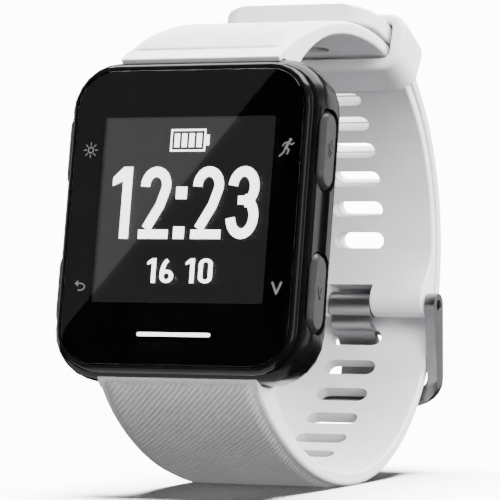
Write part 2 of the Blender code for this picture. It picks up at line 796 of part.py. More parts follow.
def buckle_tongue():
    """A barrel on the pin and a strip that passes through a slot to rest over the front bar."""
    steel = material("tongue_steel", (0.45, 0.45, 0.46), 0.28, 1.0)
    path = [
        buckle_point(1.1, -0.55), buckle_point(2.6, -0.75),
        seam_point(TONGUE_SLOT - 0.9, -0.85), seam_point(TONGUE_SLOT - 0.3, 0.5),
        seam_point(TONGUE_SLOT + 0.3, 1.9), seam_point(TONGUE_SLOT + 1.1, 3.25),
        buckle_point(9.4, 2.3), buckle_point(12.0, 1.45), buckle_point(13.6, 0.35),
    ]
    barrel = bar("buckle_tongue", BARREL_RADIUS, -BARREL_HALF, BARREL_HALF, (PIN_Y, PIN_Z), steel, 32)
    combine(barrel, tongue_plate("tool_tongue_plate", smooth_path(path)), "UNION")
    combine(barrel, bar("tool_tongue_bore", 0.8, -6.0, 6.0, (PIN_Y, PIN_Z)))


def buckle_pin():
    steel = material("pin_steel", (0.6, 0.6, 0.61), 0.25, 1.0)
    bar("buckle_pin", PIN_RADIUS, -PIN_HALF, PIN_HALF, (PIN_Y, PIN_Z), steel)


# ---------------------------------------------------------------- standing it up

def lowest_and_middle():
    """Lowest Z and middle Y of everything that is part of the watch, in world space."""
    bpy.context.view_layer.update()
    graph = bpy.context.evaluated_depsgraph_get()
    ys, zs = [], []
    for obj in bpy.data.objects:
        if obj.type != "MESH" or obj.hide_render:
            continue
        shape = obj.evaluated_get(graph)
        for vertex in shape.data.vertices:
            point = shape.matrix_world @ vertex.co
            ys.append(point.y)
            zs.append(point.z)
    return min(zs), (min(ys) + max(ys)) / 2


def stand_up():
    """Lean everything back and set its lowest point on Z = 0, over the origin."""
    lean = bpy.data.objects.new("lean", None)
    bpy.context.scene.collection.objects.link(lean)
    for obj in list(bpy.data.objects):
        if obj is not lean:
            obj.parent = lean
    lean.matrix_world = Matrix.Rotation(math.radians(-LEAN), 4, "X")
    bottom, middle = lowest_and_middle()
    lean.location = (0.0, -middle, -bottom)


def build():
    clear_scene()
    cover_lens()
    lens_gasket()
    front_bezel()
    display_module()
    inner_frame()
    mid_case()
    buttons()
    main_board()
    battery()
    gps_antenna()
    vibration_motor()
    rear_gasket()
    rear_cover()
    charge_contacts()
    case_screws()
    heart_sensor()
    straps()
    keeper_loop()
    buckle_frame()
    buckle_tongue()
    buckle_pin()
    stand_up()


build()
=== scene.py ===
"""Looks for the square running watch: dial, straps, finishes, lights and camera round the CAD frame.

Shapes are drawn in the watch's own frame, in millimetres: X to 3 o'clock, Y from the glass towards
the wrist, Z to 12 o'clock, with the origin on the middle of the glass. WATCH turns that frame into
the model's own, from the glass_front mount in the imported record.
"""

import json
import math

import bmesh
import bpy
from mathutils import Matrix, Vector

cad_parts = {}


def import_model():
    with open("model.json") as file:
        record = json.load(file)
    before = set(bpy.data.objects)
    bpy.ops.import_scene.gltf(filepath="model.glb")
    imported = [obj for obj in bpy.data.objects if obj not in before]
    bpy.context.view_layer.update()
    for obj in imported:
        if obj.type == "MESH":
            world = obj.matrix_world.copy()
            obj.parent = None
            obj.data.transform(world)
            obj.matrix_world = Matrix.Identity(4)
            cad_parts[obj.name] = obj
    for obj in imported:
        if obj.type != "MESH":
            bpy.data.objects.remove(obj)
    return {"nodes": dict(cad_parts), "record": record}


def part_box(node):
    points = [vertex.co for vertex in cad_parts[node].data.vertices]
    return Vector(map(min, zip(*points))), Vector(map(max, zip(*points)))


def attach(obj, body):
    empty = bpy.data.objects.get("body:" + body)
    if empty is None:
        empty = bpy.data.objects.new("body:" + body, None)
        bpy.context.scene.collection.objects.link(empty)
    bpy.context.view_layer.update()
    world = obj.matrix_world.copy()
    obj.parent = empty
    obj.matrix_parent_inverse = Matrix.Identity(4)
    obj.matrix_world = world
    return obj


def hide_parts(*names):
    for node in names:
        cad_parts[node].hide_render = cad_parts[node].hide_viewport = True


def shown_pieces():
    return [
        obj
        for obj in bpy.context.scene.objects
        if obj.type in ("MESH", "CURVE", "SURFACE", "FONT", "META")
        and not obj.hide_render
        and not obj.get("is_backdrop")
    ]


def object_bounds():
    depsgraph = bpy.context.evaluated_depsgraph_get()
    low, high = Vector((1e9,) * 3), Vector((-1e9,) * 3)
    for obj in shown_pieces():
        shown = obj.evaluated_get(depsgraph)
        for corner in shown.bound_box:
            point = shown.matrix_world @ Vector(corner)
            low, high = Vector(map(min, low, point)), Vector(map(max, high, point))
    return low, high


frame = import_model()
cad_box = [list(corner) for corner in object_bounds()]

MM = 0.001

# The dial, on the watch's own X and Z
SCREEN_MIDDLE = 0.95            # height of the display's middle
SCREEN_HALF = 11.75
MASK_HALF = (15.6, 18.65, 4.85)   # the black print behind the glass: half width, half height, corner
MARK_X = 13.5                   # printed marks beside the buttons
UPPER_MARK, LOWER_MARK = 8.55, -8.85

# Depths behind the front of the glass, whose back is at 0.75
PRINT_DEPTH = 0.66
MASK_DEPTH = 0.69
SCREEN_DEPTH = 1.12

# The strap seam, as in the CAD: start, heading and tangent arcs of (radius, degrees)
SEAM_START = (2.6, 21.25)
SEAM_HEADING = 38.5
SEAM_ARCS = (
    (33.5, 14.5), (86.5, 4.0), (42.5, 24.0), (27.5, 44.0),
    (30.0, 69.0), (28.0, 53.5), (41.5, 36.5), (23.5, 19.0),
)
SEAM_LENGTH = sum(radius * math.radians(degrees) for radius, degrees in SEAM_ARCS)
STRAP_HALF = 11.0
UPPER_FACE = 0.0                # offset of the upper strap's outer face from the seam
LOWER_FACE = 2.1                # and of the lower strap's

# Moulded ribs: the crest of each runs across the strap on a slant
RIB_SLANT = 0.9                 # distance along the strap for each millimetre across it
RIB_HEIGHT = 0.38
RIB_PROFILE = (0.0, 0.3, 1.0, 1.0, 1.0, 0.3)
RIB_BORDER = 0.9                # plain margin along the strap's edges
RIB_COLUMNS = 30                # steps across the strap in each row of points
RIB_END = 0.25                  # width over which a rib's end sinks into the strap
RIB_LIFT = 0.01                 # keeps the sheet clear of the strap's own face
LOWER_PITCH, LOWER_START_GAP, LOWER_COVER, LOWER_FADE = 0.74, 0.1, 33.0, 6.0
UPPER_PITCH, UPPER_START, UPPER_END, UPPER_FADE = 0.6, 1.2, 20.0, 12.0
UPPER_SHARE = 0.7               # height of the upper ribs beside the lower ones

# Moulded lips over the case's rim, from the seam's ends
LIP_REACH = 1.4                 # how far a lip runs along the strap
LIP_DEPTH = 0.9
LIP_DRAFT = 0.25                # how far its foot is set back from its edge
LIP_ROUNDING = 0.2
UPPER_LIP, LOWER_LIP = 1.25, 0.2    # how far each lip passes the seam's end

# Spaces on the display: left, right, bottom and top
TIME_BOX = (-10.2, 10.15, -2.7, 6.45)
DATE_BOX = (-4.5, 4.5, -8.25, -5.15)
BATTERY_BOX = (-2.6, 2.25, 8.35, 11.2)
BATTERY_LINE, BATTERY_GAP, BATTERY_BARS = 0.24, 0.3, 4
BATTERY_TIP = (0.5, 0.75)       # how far the tip stands out, and how far it is set in at each end
FIGURE_GAP = 0.75
LOWER_EDGE = (4.8, -14.75, 0.5)     # plain bar under the display: half length, height, width

# Thicknesses of the print and of the display's layers
MASK_THICK = 0.03
LAYER_THICK = 0.02
PRINT_THICK = 0.015
PAINTED_GLOW_LIFT = 0.04                 # the glowing figures, painted light, stand this far in front of the screen's face
SCREEN_LAP = 0.1                # the screen's face passes behind the mask's window by this much

# Raised marks on the buttons: how far each sinks in and stands out
MARK_RISES = (-0.02, 0.07)

# Rounding of the CAD parts' edges
WELD = 0.000002                 # in metres, as the CAD meshes are
FLAT_ANGLE = 0.4
SHARP_ANGLE = 35.0
EDGE_SEGMENTS = 3

# Surface relief of the materials
RELIEF_DEPTH = 0.00004
BROAD_GRAIN = 12.0              # the colour varies this many times more broadly than the relief
RAMP_ENDS = (0.3, 0.7)

# Studio, in metres
FLOOR_RADIUS = 0.3
FLOOR_SOLID = 0.3               # share of the radius over which the paper is solid
WORLD_STRENGTH = 13.0
CAMERA_PLACE = Vector((0.18166, -0.40532, 0.03497))
CAMERA_TURN = (89.454, -0.002, 24.584)
CAMERA_LENS = 242.712
SENSOR_WIDTH = 36.0
CLIP = (0.01, 20.0)
HIGHLIGHT = 0.36                # brightness of the panel that shows in the glass
HIGHLIGHT_REACH = 2.6           # its distance, as a multiple of the mirrored camera's

# Where the panel shows on the plane of the glass, in millimetres, seen from the camera
HIGHLIGHT_CORNERS = ((11.4, 18.4), (-15.3, -14.6), (-42.0, -47.0), (-90.0, 40.0), (38.0, 51.2))

# Softboxes: name, direction from the watch, distance, size and brightness
FLOOR_LIGHT = ("floor_light", (-0.05, 0.1, 1.0), 0.7, 0.45, 130.0)
SOFTBOXES = (
    ("top", (-0.1, 0.3, 1.0), 0.7, 0.6, 44.0),
    ("front", (0.45, -0.8, 0.75), 0.8, 0.5, 22.0),
    ("right", (0.9, 0.45, 0.3), 0.8, 0.5, 36.0),
    ("right_front", (0.85, -0.55, 0.1), 0.9, 0.4, 19.0),
    ("low_front", (-0.1, -1.0, -0.45), 0.9, 0.7, 2.4),
    ("left_back", (-0.8, 0.7, 0.3), 0.9, 0.6, 14.0),
)

# Cards that show only in glossy surfaces: name, direction, distance, width, height and brightness
REFLECTORS = (
    ("gloss_top", (0.0, 0.25, 1.0), 0.6, 0.9, 0.7, 7.0),
    ("gloss_right", (1.0, -0.12, 0.12), 0.7, 0.6, 0.6, 1.2),
    ("gloss_back_right", (0.5, 0.9, 0.1), 0.8, 0.7, 0.5, 1.0),
    ("gloss_below", (-0.3, -0.15, -0.9), 0.5, 0.9, 0.9, 0.8),
    ("gloss_left", (-1.0, 0.1, 0.2), 0.8, 0.5, 0.6, 1.5),
)


# ---------------------------------------------------------------- placing

def watch_frame():
    """Matrix from the watch's own frame in millimetres to the model's frame in metres."""
    mounts = {mount["name"]: mount for mount in frame["record"]["mounts"]}
    glass = mounts["glass_front"]
    inward = -Vector(glass["axis"]).normalized()
    right = Vector((1.0, 0.0, 0.0))
    up = right.cross(inward)
    turn = Matrix((right, inward, up)).transposed().to_4x4()
    return Matrix.Translation(glass["pos_m"]) @ turn @ Matrix.Scale(MM, 4)


WATCH = watch_frame()
BODY_OF = {
    node: body
    for body, nodes in frame["record"]["behaviour"]["bodies"].items()
    for node in nodes
}
SLOT_OF = {part["node"]: part["material_slot"] for part in frame["record"]["subparts"]}


def new_piece(name, verts, faces, mat, body="watch", smooth=False):
    """A visible piece from points in the watch's frame."""
    mesh = bpy.data.meshes.new(name)
    mesh.from_pydata([WATCH @ Vector(v) for v in verts], [], faces)
    mesh.validate()
    obj = bpy.data.objects.new(name, mesh)
    bpy.context.scene.collection.objects.link(obj)
    obj.data.materials.append(mat)
    for face in mesh.polygons:
        face.use_smooth = smooth
    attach(obj, body)
    return obj


def outward_faces(obj):
    bm = bmesh.new()
    bm.from_mesh(obj.data)
    bmesh.ops.recalc_face_normals(bm, faces=bm.faces)
    bm.to_mesh(obj.data)
    bm.free()


def prism_faces(base, count):
    """Faces of a solid between two outlines of that many points, the second after the first."""
    faces = [
        tuple(base + k for k in range(count)),
        tuple(base + count + k for k in reversed(range(count))),
    ]
    for k in range(count):
        n = (k + 1) % count
        faces.append((base + k, base + count + k, base + count + n, base + n))
    return faces


def rounded_outline(half_a, half_b, radius, steps=8):
    points = []
    for sa, sb, start in ((1, 1, 0), (-1, 1, 90), (-1, -1, 180), (1, -1, 270)):
        for k in range(steps + 1):
            angle = math.radians(start + 90.0 * k / steps)
            points.append((
                sa * (half_a - radius) + radius * math.cos(angle),
                sb * (half_b - radius) + radius * math.sin(angle),
            ))
    return points


# ---------------------------------------------------------------- materials

def nodes_of(name):
    mat = bpy.data.materials.new(name)
    mat.use_nodes = True
    return mat, mat.node_tree.nodes, mat.node_tree.links


def noise(nodes, links, scale, stretch=(1.0, 1.0, 1.0), detail=4.0):
    """Noise over the piece's own coordinates; scale is in cycles per metre."""
    coords = nodes.new("ShaderNodeTexCoord")
    mapping = nodes.new("ShaderNodeMapping")
    mapping.inputs["Scale"].default_value = stretch
    texture = nodes.new("ShaderNodeTexNoise")
    texture.inputs["Scale"].default_value = scale
    texture.inputs["Detail"].default_value = detail
    links.new(coords.outputs["Object"], mapping.inputs["Vector"])
    links.new(mapping.outputs["Vector"], texture.inputs["Vector"])
    return texture.outputs["Fac"]


def finish_of(name, dark, light, roughness, metallic=0.0, grain=1500.0, bump=0.08,
              stretch=(1.0, 1.0, 1.0), **sockets):
    """A Principled surface whose colour, roughness and relief vary with fine noise.

    roughness is (smoothest, roughest), and sockets are values set on the shader itself."""
    mat, nodes, links = nodes_of(name)
    shader = nodes["Principled BSDF"]
    shader.inputs["Metallic"].default_value = metallic
    for socket, value in sockets.items():
        shader.inputs[socket.replace("_", " ")].default_value = value
    fine = noise(nodes, links, grain, stretch)
    broad = noise(nodes, links, grain / BROAD_GRAIN, stretch)
    ramp = nodes.new("ShaderNodeValToRGB")
    ramp.color_ramp.elements[0].color = (*dark, 1.0)
    ramp.color_ramp.elements[0].position = RAMP_ENDS[0]
    ramp.color_ramp.elements[1].color = (*light, 1.0)
    ramp.color_ramp.elements[1].position = RAMP_ENDS[1]
    links.new(broad, ramp.inputs["Fac"])
    links.new(ramp.outputs["Color"], shader.inputs["Base Color"])
    spread = nodes.new("ShaderNodeMapRange")
    spread.inputs["To Min"].default_value = roughness[0]
    spread.inputs["To Max"].default_value = roughness[1]
    links.new(fine, spread.inputs["Value"])
    links.new(spread.outputs["Result"], shader.inputs["Roughness"])
    relief = nodes.new("ShaderNodeBump")
    relief.inputs["Strength"].default_value = bump
    relief.inputs["Distance"].default_value = RELIEF_DEPTH
    links.new(fine, relief.inputs["Height"])
    links.new(relief.outputs["Normal"], shader.inputs["Normal"])
    return mat


def grey(value):
    return (value, value, value)


def glowing(name, dark, light, strength, cells=9000.0, shine=0.0):
    """A glowing face with a fine grid of cells; on the display and its print the glow is painted
    light.
    """
    mat, nodes, links = nodes_of(name)
    shader = nodes["Principled BSDF"]
    shader.inputs["Specular IOR Level"].default_value = shine
    shader.inputs["Roughness"].default_value = 0.03
    shader.inputs["Base Color"].default_value = (0.001, 0.001, 0.001, 1.0)
    speckle = noise(nodes, links, cells, detail=1.0)
    ramp = nodes.new("ShaderNodeValToRGB")
    ramp.color_ramp.elements[0].color = (*dark, 1.0)
    ramp.color_ramp.elements[1].color = (*light, 1.0)
    links.new(speckle, ramp.inputs["Fac"])
    links.new(ramp.outputs["Color"], shader.inputs["Emission Color"])
    shader.inputs["Emission Strength"].default_value = strength
    return mat


def cover_glass():
    mat, nodes, links = nodes_of("cover_glass")
    shader = nodes["Principled BSDF"]
    shader.inputs["Transmission Weight"].default_value = 1.0
    shader.inputs["IOR"].default_value = 1.5
    tint = nodes.new("ShaderNodeValToRGB")
    tint.color_ramp.elements[0].color = (0.92, 0.93, 0.94, 1.0)
    tint.color_ramp.elements[1].color = (0.96, 0.97, 0.98, 1.0)
    links.new(noise(nodes, links, 120.0), tint.inputs["Fac"])
    links.new(tint.outputs["Color"], shader.inputs["Base Color"])
    shader.inputs["Roughness"].default_value = 0.0
    return mat


FINISHES = {
    "glass": cover_glass(),
    "bezel_black": finish_of("bezel_gloss", grey(0.002), grey(0.003), (0.1, 0.15), grain=9000.0,
                             bump=0.0),
    "case_black": finish_of("case_satin", grey(0.002), grey(0.0035), (0.2, 0.26),
                            grain=9000.0, bump=0.01),
    "cover_black": finish_of("cover_matte", grey(0.006), grey(0.010), (0.46, 0.6), bump=0.35),
    "button_black": finish_of("button_satin", grey(0.010), grey(0.014), (0.26, 0.34),
                              grain=9000.0, bump=0.02),
    "silicone_white": finish_of("silicone_white", (0.49, 0.493, 0.505), (0.535, 0.538, 0.55),
                                (0.45, 0.58), grain=2400.0, bump=0.1, Sheen_Weight=0.08,
                                Sheen_Roughness=0.4, Specular_IOR_Level=0.35),
    "seal_rubber": finish_of("seal_rubber", grey(0.004), grey(0.007), (0.6, 0.75), bump=0.2),
    "buckle_steel": finish_of("buckle_brushed", (0.24, 0.24, 0.245), (0.29, 0.29, 0.295),
                              (0.36, 0.5), metallic=1.0, grain=2600.0, bump=0.2,
                              stretch=(0.08, 1.0, 1.0)),
    "pin_steel": finish_of("pin_polished", grey(0.42), grey(0.5), (0.12, 0.2), metallic=1.0,
                           stretch=(0.1, 1.0, 1.0), bump=0.05),
    "screw_steel": finish_of("screw_satin", grey(0.4), grey(0.48), (0.28, 0.38), metallic=1.0),
    "display": finish_of("display_backing", grey(0.02), grey(0.03), (0.3, 0.4)),
    "frame_plastic": finish_of("frame_plastic", grey(0.05), grey(0.07), (0.45, 0.6), bump=0.2),
    "board_green": finish_of("board_mask", (0.01, 0.09, 0.04), (0.015, 0.13, 0.06), (0.3, 0.4)),
    "cell_foil": finish_of("cell_foil", grey(0.4), grey(0.48), (0.3, 0.45), metallic=0.9,
                           grain=700.0, bump=0.4),
    "ceramic": finish_of("ceramic", (0.5, 0.45, 0.36), (0.58, 0.53, 0.44), (0.4, 0.55)),
    "brass": finish_of("brass", (0.5, 0.38, 0.17), (0.6, 0.46, 0.22), (0.25, 0.35), metallic=1.0),
    "gold": finish_of("gold_plate", (0.7, 0.5, 0.2), (0.8, 0.6, 0.28), (0.16, 0.26), metallic=1.0,
                      bump=0.04),
    "led_green": finish_of("led_green", (0.03, 0.3, 0.1), (0.06, 0.42, 0.15), (0.2, 0.3)),
    "detector": finish_of("detector", (0.01, 0.01, 0.018), (0.02, 0.02, 0.03), (0.12, 0.2)),
    "sensor_window": finish_of("sensor_window", grey(0.003), grey(0.005), (0.04, 0.09), bump=0.0,
                               Coat_Weight=0.6, Coat_Roughness=0.03),
}
# Painted light: the display's dark face, its white figures and the grey print behind the glass glow,
# standing in for the lamps' light they would reflect through the glass
PRINT_GREY_PAINTED_GLOW = glowing("print_grey_painted_glow", grey(0.27), grey(0.31), 1.0)
SCREEN_DARK_PAINTED_GLOW = glowing("screen_dark_painted_glow", grey(0.021), grey(0.025), 1.0, shine=1.0)
SCREEN_WHITE_PAINTED_GLOW = glowing("screen_white_painted_glow", grey(0.94), grey(1.0), 4.6)
MASK_BLACK = finish_of("mask_black", grey(0.0012), grey(0.002), (0.5, 0.6), bump=0.0,
                       Specular_IOR_Level=0.0)


# ---------------------------------------------------------------- CAD parts with fine edges

def dressed(node, bevel):
    """A copy of a CAD part with its sharp edges rounded, which stands for it."""
    source = frame["nodes"][node]
    mesh = source.data.copy()
    mesh.name = f"{node}_look"
    bm = bmesh.new()
    bm.from_mesh(mesh)
    bmesh.ops.remove_doubles(bm, verts=bm.verts, dist=WELD)
    bmesh.ops.dissolve_limit(
        bm, angle_limit=math.radians(FLAT_ANGLE), verts=bm.verts, edges=bm.edges,
        delimit={"NORMAL"},
    )
    for face in bm.faces:
        face.smooth = True
    bm.to_mesh(mesh)
    bm.free()
    mesh.materials.clear()
    mesh.materials.append(FINISHES[SLOT_OF[node]])
    piece = bpy.data.objects.new(f"{node}_look", mesh)
    bpy.context.scene.collection.objects.link(piece)
    if bevel:
        rounding = piece.modifiers.new("round", "BEVEL")
        rounding.width = bevel * MM
        rounding.segments = EDGE_SEGMENTS
        rounding.limit_method = "ANGLE"
        rounding.angle_limit = math.radians(SHARP_ANGLE)
        rounding.harden_normals = True
    else:
        mesh.set_sharp_from_angle(angle=math.radians(SHARP_ANGLE))
    weighted = piece.modifiers.new("weighted", "WEIGHTED_NORMAL")
    weighted.keep_sharp = True
    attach(piece, BODY_OF[node])
    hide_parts(node)


# Rounding of each visible part's edges in millimetres; 0 leaves them sharp
EDGES = {
    "front_bezel": 0.14, "mid_case": 0.07, "rear_cover": 0.12, "sensor_window": 0.06,
    "button_light": 0.08, "button_back": 0.08, "button_run": 0.08, "button_down": 0.08,
    "buckle_frame": 0.14, "buckle_tongue": 0.12, "buckle_pin": 0.06, "keeper_loop": 0.6,
    "upper_strap": 0.0, "lower_strap": 0.0, "cover_lens": 0.05,
}


def dress_parts():
    for node, bevel in EDGES.items():
        dressed(node, bevel)
    for node, obj in frame["nodes"].items():
        obj.data.materials.clear()
        obj.data.materials.append(FINISHES[SLOT_OF[node]])


# ---------------------------------------------------------------- strap ribs

def seam(distance):
    """Point (y, z) and heading in radians at a distance along the seam."""
    y, z = SEAM_START
    heading = math.radians(SEAM_HEADING)
    for radius, degrees in SEAM_ARCS:
        sweep = math.radians(degrees)
        centre = (y + radius * math.sin(heading), z - radius * math.cos(heading))
        last = (radius, degrees) == SEAM_ARCS[-1]
        turn = distance / radius if last else min(distance / radius, sweep)
        end = heading - turn
        y = centre[0] - radius * math.sin(end)
        z = centre[1] + radius * math.cos(end)
        if turn < sweep or last:
            break
        heading = end
        distance -= radius * sweep
    return (y, z), end


def seam_point(distance, offset):
    (y, z), heading = seam(distance)
    return (y - offset * math.sin(heading), z + offset * math.cos(heading))


def eased(value, start, end):
    t = max(0.0, min(1.0, (value - start) / (end - start)))
    return t * t * (3.0 - 2.0 * t)


def rib_sheet(name, face, start, end, pitch, height_at):
    """Slanting ribs on a strap's outer face, between two distances along the seam.

    Each row of points follows the slant, and one rib takes as many rows as its profile."""
    half = STRAP_HALF - RIB_BORDER
    step = pitch / len(RIB_PROFILE)
    reach = RIB_SLANT * half
    rows = int((end - start + 2.0 * reach) / step) + 1
    verts = []
    for row in range(rows):
        crest = RIB_PROFILE[row % len(RIB_PROFILE)]
        for column in range(RIB_COLUMNS + 1):
            x = half * (2.0 * column / RIB_COLUMNS - 1.0)
            along = start - reach + row * step + RIB_SLANT * x
            inside = min(max(along, start), end)
            edge = eased(half - abs(x), 0.0, RIB_END) * (1.0 if inside == along else 0.0)
            rise = height_at(inside) * crest * edge
            verts.append((x, *seam_point(inside, face + rise + RIB_LIFT)))
    width = RIB_COLUMNS + 1
    faces = []
    for row in range(rows - 1):
        for column in range(RIB_COLUMNS):
            first = row * width + column
            ends = {tuple(round(c, 5) for c in verts[i]) for i in
                    (first, first + 1, first + width, first + width + 1)}
            if len(ends) == 4:
                faces.append((first, first + 1, first + width + 1, first + width))
    new_piece(name, verts, faces, FINISHES["silicone_white"], smooth=True)


def root_lip(name, face, edge, inside):
    """The strap's moulded edge that covers the case's rim, across the whole strap."""
    outer = [seam_point(edge + (inside - edge) * k / 4.0, face) for k in range(5)]
    tail = seam_point(inside, face - LIP_DEPTH)
    foot = seam_point(edge + LIP_DRAFT * (1.0 if inside > edge else -1.0), face - LIP_DEPTH)
    profile = outer + [tail, foot]
    count = len(profile)
    verts = [(x, y, z) for x in (-STRAP_HALF, STRAP_HALF) for y, z in profile]
    faces = [tuple(range(count)), tuple(range(2 * count - 1, count - 1, -1))]
    for k in range(count):
        n = (k + 1) % count
        faces.append((k, n, count + n, count + k))
    obj = new_piece(name, verts, faces, FINISHES["silicone_white"])
    outward_faces(obj)
    rounding = obj.modifiers.new("round", "BEVEL")
    rounding.width = LIP_ROUNDING * MM
    rounding.segments = 3


def strap_ribs():
    root_lip("upper_strap_lip", UPPER_FACE, -UPPER_LIP, LIP_REACH)
    root_lip("lower_strap_lip", LOWER_FACE, SEAM_LENGTH + LOWER_LIP, SEAM_LENGTH - LIP_REACH)
    lower_end = SEAM_LENGTH - LOWER_START_GAP
    lower_start = lower_end - LOWER_COVER
    rib_sheet(
        "lower_strap_ribs", LOWER_FACE, lower_start, lower_end, LOWER_PITCH,
        lambda s: RIB_HEIGHT * eased(s, lower_start, lower_start + LOWER_FADE),
    )
    rib_sheet(
        "upper_strap_ribs", UPPER_FACE, UPPER_START, UPPER_END, UPPER_PITCH,
        lambda s: UPPER_SHARE * RIB_HEIGHT * (1.0 - eased(s, UPPER_END - UPPER_FADE, UPPER_END)),
    )


# ---------------------------------------------------------------- dial

def flat_piece(name, outlines, depth, thickness, mat):
    """Flat shapes on the dial from closed outlines of (x, z), joined in one piece."""
    verts, faces = [], []
    for outline in outlines:
        count = len(outline)
        base = len(verts)
        verts += [(x, depth, z) for x, z in outline]
        verts += [(x, depth + thickness, z) for x, z in outline]
        faces += prism_faces(base, count)
    obj = new_piece(name, verts, faces, mat)
    outward_faces(obj)
    return obj


def stroke(points, width, steps=6):
    """Closed outlines of a line of that width through the points, with round ends."""
    outlines = []
    radius = width / 2.0
    for (x0, z0), (x1, z1) in zip(points, points[1:]):
        heading = math.atan2(z1 - z0, x1 - x0)
        outline = []
        for (cx, cz), start in (((x0, z0), 90.0), ((x1, z1), -90.0)):
            for k in range(steps + 1):
                angle = heading + math.radians(start + 180.0 * k / steps)
                outline.append((cx + radius * math.cos(angle), cz + radius * math.sin(angle)))
        outlines.append(outline)
    return outlines


def disc(x, z, radius, steps=20):
    return [(x + radius * math.cos(2 * math.pi * k / steps),
             z + radius * math.sin(2 * math.pi * k / steps)) for k in range(steps)]


def rectangle(x0, z0, x1, z1):
    return [(x0, z0), (x1, z0), (x1, z1), (x0, z1)]


def moved(outlines, x, z, scale=1.0):
    return [[(x + px * scale, z + pz * scale) for px, pz in outline] for outline in outlines]


def runner():
    """A running figure about two units tall, facing +x."""
    figure = [disc(0.42, 0.98, 0.2)]
    figure += stroke([(0.22, 0.68), (-0.08, 0.08)], 0.34)
    figure += stroke([(0.24, 0.66), (0.6, 0.42), (0.86, 0.62)], 0.15)
    figure += stroke([(0.14, 0.72), (-0.28, 0.62), (-0.5, 0.3)], 0.15)
    figure += stroke([(-0.06, 0.06), (0.3, -0.16), (0.12, -0.6)], 0.2)
    figure += stroke([(-0.12, 0.04), (-0.34, -0.46), (-0.8, -0.86)], 0.2)
    return figure


def sun():
    rays = []
    for k in range(8):
        angle = math.pi * k / 4.0
        near, far = 0.62, 0.95
        rays += stroke([(near * math.cos(angle), near * math.sin(angle)),
                        (far * math.cos(angle), far * math.sin(angle))], 0.13)
    ring = [(0.36 * math.cos(math.pi * k / 8.0), 0.36 * math.sin(math.pi * k / 8.0))
            for k in range(17)]
    return rays + stroke(ring, 0.15)


def return_arrow():
    curve = [(0.75 * math.sin(math.radians(a)) * 0.9 + 0.1, -0.05 + 0.5 * math.cos(math.radians(a)))
             for a in range(0, 181, 20)]
    tail = stroke([(-0.35, 0.45)] + curve + [(-0.25, -0.55)], 0.19)
    head = [(-0.9, 0.45), (-0.3, 0.95), (-0.3, -0.05)]
    return tail + [head]


def chevron():
    return stroke([(-0.62, 0.75), (0.0, -0.7), (0.62, 0.75)], 0.3)


def mask():
    """The black print behind the glass, with the display's window."""
    steps = 8
    outer = rounded_outline(*MASK_HALF, steps)
    inner = rounded_outline(SCREEN_HALF, SCREEN_HALF, 0.35, steps)
    inner = [(x, z + SCREEN_MIDDLE) for x, z in inner]
    count = len(outer)
    verts = [(x, MASK_DEPTH, z) for x, z in outer + inner]
    verts += [(x, MASK_DEPTH + MASK_THICK, z) for x, z in outer + inner]
    faces = []
    for k in range(count):
        n = (k + 1) % count
        faces.append((k, n, count + n, count + k))
        faces.append((2 * count + k, 3 * count + k, 3 * count + n, 2 * count + n))
        faces.append((k, 2 * count + k, 2 * count + n, n))
        faces.append((count + k, count + n, 3 * count + n, 3 * count + k))
    obj = new_piece("dial_mask", verts, faces, MASK_BLACK)
    outward_faces(obj)


def arc(centre, radii, first, last, steps=12):
    """Points along part of an ellipse, with angles in degrees."""
    return [
        (centre[0] + radii[0] * math.cos(math.radians(first + (last - first) * k / steps)),
         centre[1] + radii[1] * math.sin(math.radians(first + (last - first) * k / steps)))
        for k in range(steps + 1)
    ]


def ribbon(points, width):
    """Four-sided outlines that together make a line of that width with square ends."""
    sides = []
    for k, (x, z) in enumerate(points):
        before, after = points[max(k - 1, 0)], points[min(k + 1, len(points) - 1)]
        along = Vector((after[0] - before[0], after[1] - before[1])).normalized()
        off = Vector((-along.y, along.x)) * (width / 2.0)
        sides.append(((x + off.x, z + off.y), (x - off.x, z - off.y)))
    return [[a[0], b[0], b[1], a[1]] for a, b in zip(sides, sides[1:])]


# Each figure is FIGURE_WIDE by FIGURE_TALL with lines FIGURE_LINE thick
FIGURE_WIDE, FIGURE_TALL, FIGURE_LINE = 4.3, 9.1, 1.3


def figure(character):
    """Outlines of one bold, narrow figure with its lower left corner at the origin."""
    half = FIGURE_LINE / 2.0
    mid, left, right, top = FIGURE_WIDE / 2.0, half, FIGURE_WIDE - half, FIGURE_TALL - half
    wide = mid - half
    if character == "1":
        stem = rectangle(1.75, 0.0, 1.75 + FIGURE_LINE, FIGURE_TALL)
        flag = [(0.3, 6.65), (0.3, 7.75), (1.75, FIGURE_TALL), (2.2, FIGURE_TALL), (1.75, 7.3)]
        return [stem, flag]
    if character == "2":
        bowl = arc((mid, top - wide * 1.15), (wide, wide * 1.15), 185.0, -28.0)
        foot = [(right - 0.75, 4.2), (left + 0.5, half + 0.6)]
        base = rectangle(0.1, 0.0, FIGURE_WIDE, FIGURE_LINE * 0.9)
        return ribbon(bowl + foot, FIGURE_LINE) + [base]
    if character == "3":
        upper = arc((mid - 0.1, top - wide * 1.3), (wide, wide * 1.3), 175.0, -85.0, 18)
        lower = arc((mid - 0.1, half + wide * 1.45), (wide + 0.1, wide * 1.45), 85.0, -175.0, 18)
        waist = rectangle(1.35, 4.3, 2.5, 5.4)
        return ribbon(upper, FIGURE_LINE) + ribbon(lower, FIGURE_LINE) + [waist]
    if character == "0":
        ring = arc((mid, top - wide), (wide, wide), 0.0, 180.0)
        ring += arc((mid, half + wide), (wide, wide), 180.0, 360.0) + ring[:2]
        return ribbon(ring, FIGURE_LINE)
    if character == "6":
        ring = arc((mid, half + wide * 1.2), (wide, wide * 1.2), 180.0, 540.0, 24)
        tall = top - half - wide * 1.2
        back = arc((mid + 0.6, half + wide * 1.2), (wide + 0.6, tall), 180.0, 100.0)
        return ribbon(ring + ring[:1], FIGURE_LINE) + ribbon(back, FIGURE_LINE)
    if character == ":":
        return [rectangle(0.0, z, 1.55, z + 1.55) for z in (0.0, 5.0)]
    return []


